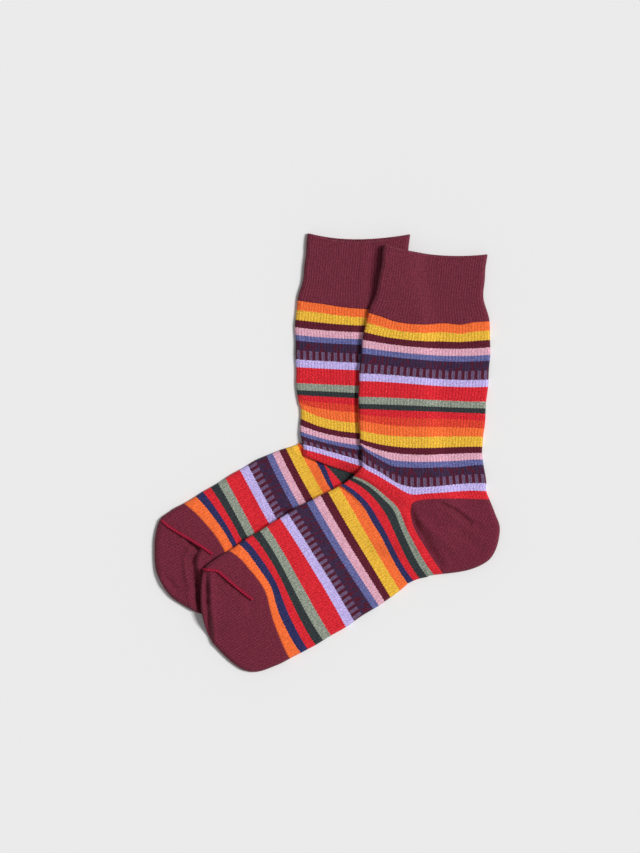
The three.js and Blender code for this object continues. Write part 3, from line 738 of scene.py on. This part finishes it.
def applyAll(ob):
    # the evaluated object becomes a plain mesh, none of it below the surface that it lies on
    evaluated = ob.evaluated_get(bpy.context.evaluated_depsgraph_get())
    finished = bpy.data.meshes.new_from_object(evaluated)
    finished.name = ob.name
    ob.modifiers.clear()
    ob.data = finished
    places = np.empty(len(finished.vertices) * 3)
    finished.vertices.foreach_get("co", places)
    places[2::3] = np.maximum(places[2::3], 0)
    finished.vertices.foreach_set("co", places)
    finished.update()
    print(ob.name, len(finished.polygons), "faces")


def ringFaces(rowCount, ringCount):
    i, j = np.meshgrid(np.arange(rowCount - 1), np.arange(ringCount), indexing="ij")
    following = (j + 1) % ringCount
    here, there = i * ringCount, (i + 1) * ringCount
    return np.stack([here + j, there + j, there + following, here + following], -1).reshape(-1, 4)


def rings(sock, courses, across, below):
    # rings of points round the tube, and for each point its place in the knit and in the stripes
    points = np.concatenate([skin(sock, courses, across, True), skin(sock, courses, below[::-1], False)], axis=1)
    wales = np.concatenate([across, 2 - below[::-1]]) * sockSettings["faceWidth"]
    steps = np.linalg.norm(np.diff(points, axis=0), axis=-1)
    length = courses[0] + np.concatenate([np.zeros((1, points.shape[1])), np.cumsum(steps, axis=0)])
    knit = np.stack(np.broadcast_arrays(wales[None, :], length), -1)
    # millimetres of cloth to a millimetre of course
    spread = np.maximum(np.gradient(length, courses, axis=0), 0.35)
    inStripes = np.stack(np.broadcast_arrays(courses[:, None], spread), -1)
    return points, knit, inStripes


cuffSettings = {
    "ribs": 42,
    "ribHeight": 0.42,
    "sharpness": 0.75,  # under 1, a rib is broader than the groove beside it
    "pointsPerRib": 8,
    "rim": [0, 0.2, 0.5, 0.9, 1.4, 2.0],  # courses of the first rows
    "step": 1.6,
    "welt": 0.3,  # height of the rim's roll
    "lip": 0.8,  # how far the rim turns in
    "edgeSteepness": 30,  # the ribs begin within a thirtieth of the width from the tube's edges
}


def ribbingTree():
    # a rib at every whole turn of ribShare, raised from the face, or sunk between grooves where ribSunk is 1
    tree, given = newTree("ribbing", {"Ribs": "Float", "Rib height": "Float", "Yarn": "Material"})
    marks = [["ribShare"], ["ribAmount"], ["ribSunk"]]
    marks = [addNode(tree, "GeometryNodeInputNamedAttribute", mark, data_type="FLOAT") for mark in marks]
    share, amount, sunk = marks
    wave = chain(
        tree,
        share,
        ("MULTIPLY", given.outputs["Ribs"]),
        ("MULTIPLY", 2 * math.pi),
        ("COSINE",),
        ("MULTIPLY_ADD", -0.5, 0.5),
        ("POWER", cuffSettings["sharpness"]),
        ("SUBTRACT", sunk),
        ("MULTIPLY", amount),
        ("MULTIPLY", given.outputs["Rib height"]),
    )
    normal = addNode(tree, "GeometryNodeInputNormal")
    offset = addNode(tree, "ShaderNodeVectorMath", {"Vector": normal, "Scale": wave}, operation="SCALE")
    moved = addNode(tree, "GeometryNodeSetPosition", {"Geometry": given, "Offset": offset})
    real = addNode(tree, "GeometryNodeRealizeInstances", [moved])
    dyed = addNode(tree, "GeometryNodeSetMaterial", {"Geometry": real, "Material": given.outputs["Yarn"]})
    addNode(tree, "NodeGroupOutput", [dyed])
    return tree


ribbing = ribbingTree()


def cuffPiece(sock, settings):
    rim = settings["rim"]
    courses = np.concatenate([rim, np.arange(3.2, cuffEnd - 0.5, settings["step"]), [cuffEnd]])
    across = np.linspace(0, 1, settings["ribs"] * settings["pointsPerRib"] + 1)
    below = across[2:-2:2]
    points, knit, _ = rings(sock, courses, across, below)
    onTop = len(across)
    welt = np.exp(-(((courses - 0.9) / 0.6) ** 2)) - 0.6 * np.exp(-(((courses - 2.4) / 0.8) ** 2))
    lip = 1 - np.sqrt(np.clip(1 - (1 - np.clip(courses, 0, 1)) ** 2, 0, 1))
    steep = settings["edgeSteepness"]
    inward = smooth(across * steep) * smooth((1 - across) * steep)  # 0 at the tube's two edges
    points[:, :onTop, 2] += (settings["welt"] * welt - settings["lip"] * lip)[:, None] * inward
    inward = np.concatenate([inward, inward[2:-2:2][::-1]])
    amount = inward[None, :] * smooth((courses + 0.6)[:, None] / 2.2)
    marks = {
        "ribShare": np.broadcast_to(np.concatenate([across, below[::-1]]), amount.shape).ravel(),
        "ribAmount": amount.ravel(),
        "ribSunk": np.broadcast_to(np.arange(points.shape[1]) >= onTop, amount.shape).ravel(),
    }
    faces = ringFaces(len(courses), points.shape[1]).tolist()
    name = sock["name"] + "CuffRibbed"
    ob = addObject(name, points.reshape(-1, 3), [], faces, {"knit": knit.reshape(-1, 2)}, marks)
    values = {"Ribs": float(settings["ribs"]), "Rib height": settings["ribHeight"] / 1000, "Yarn": ribCotton}
    addTree(ob, ribbing, values)
    addThickness(ob, sockSettings["cuffWall"])
    applyAll(ob)
    return ob


def curveThrough(knots, count):
    # flat points on a smooth curve through the knots
    knots = np.array(knots, float)
    dense = []
    for i in range(len(knots) - 1):
        a, b = knots[max(i - 1, 0)], knots[min(i + 2, len(knots) - 1)]
        p, q = knots[i], knots[i + 1]
        for u in np.linspace(0, 1, count, endpoint=False):
            bend = (2 * a - 5 * p + 4 * q - b) * u**2 + (3 * p - a - 3 * q + b) * u**3
            dense.append(0.5 * (2 * p + (q - a) * u + bend))
    return np.array(dense + [knots[-1]])


# The heel pocket's outline from the side: its front edge from the sole up to the ankle, then its top edge
heelSettings = {
    "outline": [
        (34, -68), (24, -51), (13, -34.5), (3.4, -18.5), (0.4, -9.5), (0, -2), (3.5, 3.2), (22, 5.2), (57, 4.6),
        (90, 4.2),
    ],
    "beyond": (95, -75),
    "pointsPerKnot": 12,
    "over": {"at": (63, -40), "turn": 0},
    "under": {"at": (36, -20), "turn": 7},
}


def heelOutline(sock, settings):
    outline = np.vstack([curveThrough(settings["outline"], settings["pointsPerKnot"]), settings["beyond"]])
    placed = settings[sock["name"]]
    return turned(outline, -placed["turn"]) + np.array(placed["at"])


def howFarInside(outline, points):
    nearest = np.full(len(points), 1e9)
    inside = np.zeros(len(points), bool)
    for a, b in zip(outline, np.roll(outline, -1, axis=0)):
        run = b - a
        share = np.clip(((points - a) @ run) / (run @ run), 0, 1)
        nearest = np.minimum(nearest, np.linalg.norm(points - a - share[:, None] * run, axis=1))
        crosses = (a[1] > points[:, 1]) != (b[1] > points[:, 1])
        if crosses.any():
            inside ^= crosses & (points[:, 0] < run[0] * (points[:, 1] - a[1]) / run[1] + a[0])
    return np.where(inside, nearest, -nearest)


def splitAlong(values, quads, inside):
    # the faces inside and outside the line where inside is 0; the faces that it crosses are cut along it
    nearest = 0.02  # no cut comes closer to a corner
    inside = np.where(np.abs(inside) < nearest, nearest, inside)
    signs = inside[quads] > 0
    whole = signs.all(axis=1) | (~signs).all(axis=1)
    parts = {True: quads[whole & signs[:, 0]].tolist(), False: quads[whole & ~signs[:, 0]].tolist()}
    values, cuts = values.tolist(), {}

    def cut(a, b):
        key = (min(a, b), max(a, b))
        if key not in cuts:
            share = inside[key[0]] / (inside[key[0]] - inside[key[1]])
            cuts[key] = len(values)
            values.append([p + (q - p) * share for p, q in zip(values[key[0]], values[key[1]])])
        return cuts[key]

    for quad in quads[~whole].tolist():
        for tri in ((quad[0], quad[1], quad[2]), (quad[0], quad[2], quad[3])):
            sides = {True: [], False: []}
            for a, b in zip(tri, (tri[1], tri[2], tri[0])):
                here, there = bool(inside[a] > 0), bool(inside[b] > 0)
                sides[here].append(a)
                if here != there:
                    sides[here].append(cut(a, b))
                    sides[there].append(cut(a, b))
            for side, loop in sides.items():
                if len(loop) >= 3:
                    parts[side].append(loop)
    return np.array(values), parts


def onlyUsed(values, faces):
    used = sorted({v for face in faces for v in face})
    renumbered = {v: k for k, v in enumerate(used)}
    return values[used], [[renumbered[v] for v in face] for face in faces]


def bodyAndHeel(sock, settings):
    courses = stations(sock, cuffEnd, toeStart, settings["step"])
    across = closerAtEdges(settings["columnsOnTop"])
    below = closerAtEdges(settings["columnsBelow"])[1:-1]
    points, knit, inStripes = rings(sock, courses, across, below)
    quads = ringFaces(len(courses), points.shape[1])
    values = np.concatenate([points.reshape(-1, 3), knit.reshape(-1, 2), inStripes.reshape(-1, 2)], axis=1)
    inside = howFarInside(heelOutline(sock, heelSettings), values[:, :2])
    values, parts = splitAlong(values, quads, inside)
    made = []
    for isHeel, pieceName, cloth in ((False, "LegAndFoot", stripedCotton), (True, "HeelPocket", pocketCotton)):
        kept, faces = onlyUsed(values, parts[isHeel])
        maps = {"knit": kept[:, 3:5], "stripes": kept[:, 5:7]}
        if isHeel:
            maps = {"knit": turned(kept[:, :2], knitSettings["heelLean"]) + knitSettings["start"]}
        ob = addObject(sock["name"] + pieceName, kept[:, :3], [], faces, maps)
        ob.data.materials.append(cloth)
        addThickness(ob, settings["bodyWall"])
        applyAll(ob)
        made.append(ob)
    return made


def toePiece(sock, settings):
    courses = stations(sock, toeStart, toeTip, settings["step"])
    across = closerAtEdges(settings["columnsOnTop"])
    points, _, _ = rings(sock, courses, across, across[1:-1])
    ringCount, onTop = points.shape[1], len(across)
    # the last ring is flat, so its underside points are the ones on top
    lastRing = (len(courses) - 1) * ringCount
    same = {lastRing + onTop + k: lastRing + onTop - 2 - k for k in range(ringCount - onTop)}
    faces = []
    for quad in ringFaces(len(courses), ringCount).tolist():
        loop = [same.get(v, v) for v in quad]
        loop = [v for k, v in enumerate(loop) if v != loop[k - 1]]
        if len(set(loop)) >= 3:
            faces.append(loop)
    points, faces = onlyUsed(points.reshape(-1, 3), faces)
    maps = {"knit": turned(points[:, :2], knitSettings["toeLean"]) + knitSettings["start"]}
    ob = addObject(sock["name"] + "ToePocket", points, [], faces, maps)
    ob.data.materials.append(pocketCotton)
    addThickness(ob, settings["toeWall"])
    applyAll(ob)
    return ob


# The linked toe seam: where it runs, seen from above, from the instep edge to the end of the toe's gore
seamSettings = {
    "over": [(-91.8, -87.6), (-82.1, -88.5), (-78, -91.4), (-72.4, -96.3), (-64.1, -103.3), (-55.9, -109.5)],
    "under": [(-123.2, -51.3), (-117.4, -56.2), (-109.9, -60.8), (-102.4, -65.2), (-94.9, -69.8), (-86.2, -75.8)],
    "cordRadius": 1.15,
    "tuck": 2.0,  # how far the end at the instep dips over the edge
    "tuckRun": 2.2,
    "stitchSpacing": 2.1,
    "stitchLength": 2.5,
    "stitchWidth": 2.2,
    "slant": (0.35, 0.75),  # of a stitch to the cord, least and most
    "rise": 0.3,  # of the cord's middle above the cloth, as a share of its radius
    "pointsPerKnot": 10,
    "seed": 4,
}


seamSizes = {
    "Cord radius": "cordRadius",
    "Stitch spacing": "stitchSpacing",
    "Stitch length": "stitchLength",
    "Stitch width": "stitchWidth",
}


def linkingTree():
    # a cord along the mesh's edges, with short slanted stitches over it
    sizes = dict.fromkeys(seamSizes, "Float")
    tree, given = newTree("linkedSeam", {**sizes, "Seed": "Int", "Yarn": "Material"})
    radius, width = given.outputs["Cord radius"], given.outputs["Stitch width"]
    line = addNode(tree, "GeometryNodeMeshToCurve", [given])
    ring = addNode(tree, "GeometryNodeCurvePrimitiveCircle", {"Resolution": 8, "Radius": radius})
    core = addNode(tree, "GeometryNodeCurveToMesh", {"Curve": line, "Profile Curve": ring, "Fill Caps": True})
    spots = {"Curve": line, "Length": given.outputs["Stitch spacing"]}
    spots = addNode(tree, "GeometryNodeResampleCurve", spots, mode="LENGTH")
    ball = addNode(tree, "GeometryNodeMeshUVSphere", {"Segments": 8, "Rings": 6, "Radius": 0.5})
    size = addNode(tree, "ShaderNodeCombineXYZ", [given.outputs["Stitch length"], width, width])
    tangent = addNode(tree, "GeometryNodeInputTangent")
    facing = addNode(tree, "FunctionNodeAlignRotationToVector", {"Vector": tangent}, axis="X")
    least, most = seamSettings["slant"]
    uneven = {2: least, 3: most, "Seed": given.outputs["Seed"]}
    uneven = addNode(tree, "FunctionNodeRandomValue", uneven, data_type="FLOAT")
    slant = addNode(tree, "ShaderNodeCombineXYZ", {2: uneven.outputs[1]})
    slant = addNode(tree, "FunctionNodeEulerToRotation", [slant])
    facing = addNode(tree, "FunctionNodeRotateRotation", [facing, slant], rotation_space="LOCAL")
    stitches = {"Points": spots, "Instance": ball, "Rotation": facing, "Scale": size}
    stitches = addNode(tree, "GeometryNodeInstanceOnPoints", stitches)
    up = addNode(tree, "ShaderNodeCombineXYZ", {2: radius})
    stitches = {"Instances": stitches, "Translation": up, "Local Space": False}
    stitches = addNode(tree, "GeometryNodeTranslateInstances", stitches)
    both = addNode(tree, "GeometryNodeJoinGeometry", [core])
    tree.links.new(stitches.outputs[0], both.inputs[0])
    real = addNode(tree, "GeometryNodeRealizeInstances", [both])
    soft = addNode(tree, "GeometryNodeSetShadeSmooth", [real])
    dyed = addNode(tree, "GeometryNodeSetMaterial", {"Geometry": soft, "Material": given.outputs["Yarn"]})
    addNode(tree, "NodeGroupOutput", [dyed])
    return tree


linking = linkingTree()


def seamPiece(sock, settings):
    route = curveThrough(settings[sock["name"]], settings["pointsPerKnot"])
    cloth = skin(sock, np.arange(toeStart, toeTip, 0.6), np.linspace(0, 1, 201), True).reshape(-1, 3)
    heights = []
    for spot in route:
        apart = np.linalg.norm(cloth[:, :2] - spot, axis=1)
        near = np.argsort(apart)[:6]  # the nearest six points of the cloth, the nearer the weightier
        heights.append(np.average(cloth[near, 2], weights=1 / (apart[near] + 0.05)))
    tuck = settings["tuck"] * np.exp(-np.linalg.norm(route - route[0], axis=1) / settings["tuckRun"])
    points = np.column_stack([route, np.array(heights) + settings["cordRadius"] * settings["rise"] - tuck])
    ob = addObject(sock["name"] + "ToeSeam", points, [(k, k + 1) for k in range(len(points) - 1)], [])
    sizes = {socket: settings[key] / 1000 for socket, key in seamSizes.items()}
    addTree(ob, linking, {**sizes, "Seed": settings["seed"], "Yarn": seamCotton})
    applyAll(ob)
    return ob


def finishPiece(ob, node):
    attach(ob, "root")
    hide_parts(node)


for sock, below in ((underSock, ""), (overSock, "under")):
    name = sock["name"]
    cuff = cuffPiece(sock, cuffSettings)
    body, heel = bodyAndHeel(sock, sockSettings)
    toe = toePiece(sock, sockSettings)
    seam = seamPiece(sock, seamSettings)
    finishPiece(seam, name + "_toe_seam")
    finishPiece(cuff, name + "_cuff")
    finishPiece(body, name + "_leg_and_foot")
    finishPiece(heel, name + "_heel")
    finishPiece(toe, name + "_toe")
print("socks made")

# Pale paper under soft studio light from the upper right
paperLook = {"Roughness": 0.95, "Specular IOR Level": 0.1}
lightSettings = {
    "floor": "#f3f3f3",
    "halfFloor": 3.0,
    "floorLevel": -0.0002,  # just clear of the socks
    "sunFrom": (0.67, 0.17, 1.0),
    "sunStrength": 2.5,
    "sunAngle": 16.0,
    "skyStrength": 0.27,
}


def addFloorAndLight(settings):
    half, down = settings["halfFloor"], settings["floorLevel"]
    corners = [(-half, -half, down), (half, -half, down), (half, half, down), (-half, half, down)]
    mesh = bpy.data.meshes.new("floor")
    mesh.from_pydata(corners, [], [(0, 1, 2, 3)])
    mesh.materials.append(evenMaterial("palePaper", settings["floor"], paperLook))
    ob = newObject("floor", mesh)

    sun = bpy.data.lights.new("softSun", "SUN")
    sun.energy = settings["sunStrength"]
    sun.angle = math.radians(settings["sunAngle"])
    lamp = newObject("softSun", sun)
    lamp.rotation_euler = Vector(settings["sunFrom"]).to_track_quat("Z", "Y").to_euler()

    world = bpy.data.worlds.new("room")
    world.use_nodes = True
    world.node_tree.nodes["Background"].inputs["Color"].default_value = (1, 1, 1, 1)
    world.node_tree.nodes["Background"].inputs["Strength"].default_value = settings["skyStrength"]
    bpy.context.scene.world = world
    bpy.context.scene.view_settings.view_transform = "Standard"


addFloorAndLight(lightSettings)
print("floor and light ready")
